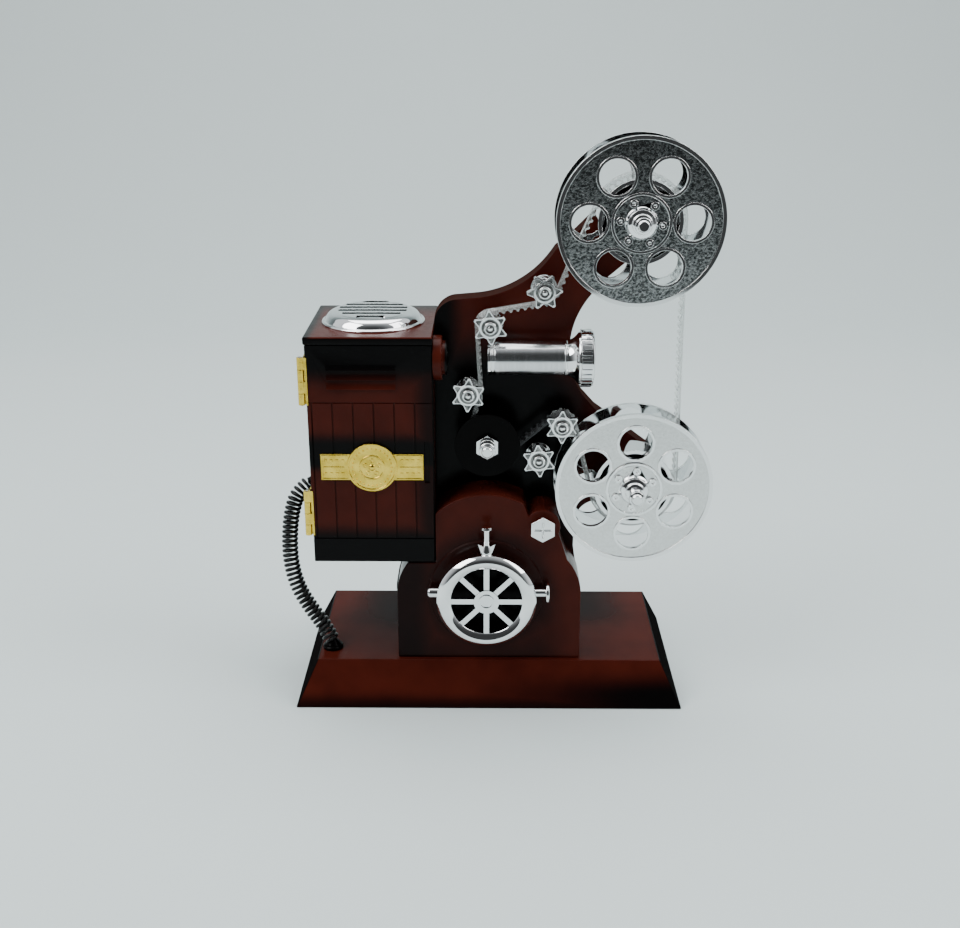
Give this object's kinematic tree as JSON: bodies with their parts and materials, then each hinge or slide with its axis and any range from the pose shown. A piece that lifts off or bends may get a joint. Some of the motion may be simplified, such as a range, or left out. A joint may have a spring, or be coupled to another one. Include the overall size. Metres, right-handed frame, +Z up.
{
  "type": "model film projector",
  "caption": "Miniature vintage film projector on a sloped plinth, with chromed reels, toothed film loop, hinged lamp house, lens, curly cord and a wind-up movement.",
  "frame": {"origin": "middle of the plinth's underside", "axes": "+X along the lens towards the picture, +Y to the rear, +Z up"},
  "size_m": [0.1847, 0.087, 0.2413],
  "materials": {
    "mahogany": "gloss red-brown sprayed to black at the edges",
    "black_plastic": "gloss black",
    "chrome": "bright vacuum-metallised chrome",
    "satin_metal": "satin silver",
    "brass": "polished",
    "steel": "zinc plated",
    "nylon": "moulded",
    "rubber": "matt",
    "film": "translucent natural",
    "glass": "clear",
    "cord": "black, semi-matt"
  },
  "bodies": {
    "frame": {"base_shell": "mahogany", "base_cover": "black_plastic", "base_cover_screws": "steel", "body_front": "mahogany", "body_rear": "mahogany", "body_screws": "steel", "gear_case": "mahogany", "motor_ring": "chrome", "motor_back": "black_plastic", "brush_cap_right": "chrome", "brush_cap_left": "chrome", "oil_cup": "chrome", "sprocket_posts": "steel", "sprocket_screws": "chrome", "drive_cover": "black_plastic", "film_belt": "film", "drive_belt": "rubber", "lens_barrel": "satin_metal", "lens_glass": "glass", "condenser_snout": "mahogany", "lamp_house_body": "mahogany", "lamp_house_lid": "mahogany", "vent_cap": "chrome", "door_catch": "black_plastic", "hinge_frame_leaves": "brass", "hinge_pins": "steel", "movement_frame": "steel", "music_comb": "steel", "governor": "nylon", "spring_barrel": "brass", "curly_cord": "cord", "cord_gland_upper": "black_plastic", "cord_gland_lower": "black_plastic"},
    "upper_reel": {"upper_reel_rear_disc": "chrome", "upper_reel_front_disc": "chrome", "upper_reel_core": "chrome", "upper_reel_hub": "chrome", "upper_reel_spindle": "chrome"},
    "lower_reel": {"lower_reel_rear_disc": "chrome", "lower_reel_front_disc": "chrome", "lower_reel_core": "chrome", "lower_reel_hub": "chrome", "lower_reel_spindle": "chrome"},
    "star_1": {"sprocket_1": "chrome"},
    "star_2": {"sprocket_2": "chrome"},
    "star_3": {"sprocket_3": "chrome"},
    "star_4": {"sprocket_4": "chrome"},
    "star_5": {"sprocket_5": "chrome"},
    "film_drive": {"drive_drum": "black_plastic", "drive_knob": "chrome", "drive_pulley": "nylon"},
    "cylinder": {"music_cylinder": "brass"},
    "door": {"door_panel": "mahogany", "nameplate": "brass", "hinge_door_leaves": "brass"},
    "focus": {"focus_ring": "chrome"},
    "stop_knob": {"hex_knob": "chrome"},
    "key": {"winding_key": "steel"}
  },
  "joints": [
    {"name": "lower_reel_spin", "type": "hinge", "parent": "frame", "child": "lower_reel", "pos_m": [0.0601, -0.024, 0.0988], "axis": [0, -1, 0], "continuous": true},
    {"name": "upper_reel_spin", "type": "hinge", "parent": "frame", "child": "upper_reel", "pos_m": [0.0581, -0.024, 0.2086], "axis": [0, -1, 0], "continuous": true},
    {"name": "sprocket_1_spin", "type": "hinge", "parent": "frame", "child": "star_1", "pos_m": [0.0217, -0.024, 0.1809], "axis": [0, -1, 0], "continuous": true},
    {"name": "sprocket_2_spin", "type": "hinge", "parent": "frame", "child": "star_2", "pos_m": [0.0002, -0.024, 0.1665], "axis": [0, -1, 0], "continuous": true},
    {"name": "sprocket_3_spin", "type": "hinge", "parent": "frame", "child": "star_3", "pos_m": [-0.0087, -0.024, 0.1383], "axis": [0, -1, 0], "continuous": true},
    {"name": "sprocket_4_spin", "type": "hinge", "parent": "frame", "child": "star_4", "pos_m": [0.0299, -0.024, 0.1247], "axis": [0, -1, 0], "continuous": true},
    {"name": "sprocket_5_spin", "type": "hinge", "parent": "frame", "child": "star_5", "pos_m": [0.0206, -0.024, 0.1099], "axis": [0, -1, 0], "continuous": true},
    {"name": "film_drive_spin", "type": "hinge", "parent": "frame", "child": "film_drive", "pos_m": [-0.0009, -0.024, 0.1167], "axis": [0, -1, 0], "continuous": true},
    {"name": "cylinder_spin", "type": "hinge", "parent": "frame", "child": "cylinder", "pos_m": [-0.0009, 0.001, 0.046], "axis": [0, -1, 0], "continuous": true},
    {"name": "key_turn", "type": "hinge", "parent": "frame", "child": "key", "pos_m": [-0.02, 0.02, 0.046], "axis": [0, 1, 0], "continuous": true},
    {"name": "door_hinge", "type": "hinge", "parent": "frame", "child": "door", "pos_m": [-0.0761, -0.0312, 0.1124], "axis": [0, 0, -1], "range_deg": [0, 110]},
    {"name": "focus_turn", "type": "hinge", "parent": "frame", "child": "focus", "pos_m": [0.039, -0.0234, 0.1528], "axis": [1, 0, 0], "range_deg": [-60, 60]},
    {"name": "stop_knob_turn", "type": "hinge", "parent": "frame", "child": "stop_knob", "pos_m": [0.0225, -0.0315, 0.0815], "axis": [0, -1, 0], "range_deg": [0, 60]}
  ],
  "couplings": [
    {"joint": "upper_reel_spin", "follows": "lower_reel_spin", "ratio": 1},
    {"joint": "sprocket_1_spin", "follows": "lower_reel_spin", "ratio": -3.3809},
    {"joint": "sprocket_2_spin", "follows": "lower_reel_spin", "ratio": 3.3809},
    {"joint": "sprocket_3_spin", "follows": "lower_reel_spin", "ratio": -3.3809},
    {"joint": "sprocket_4_spin", "follows": "lower_reel_spin", "ratio": -3.3809},
    {"joint": "film_drive_spin", "follows": "lower_reel_spin", "ratio": 2.0057},
    {"joint": "cylinder_spin", "follows": "lower_reel_spin", "ratio": 2.0057}
  ]
}
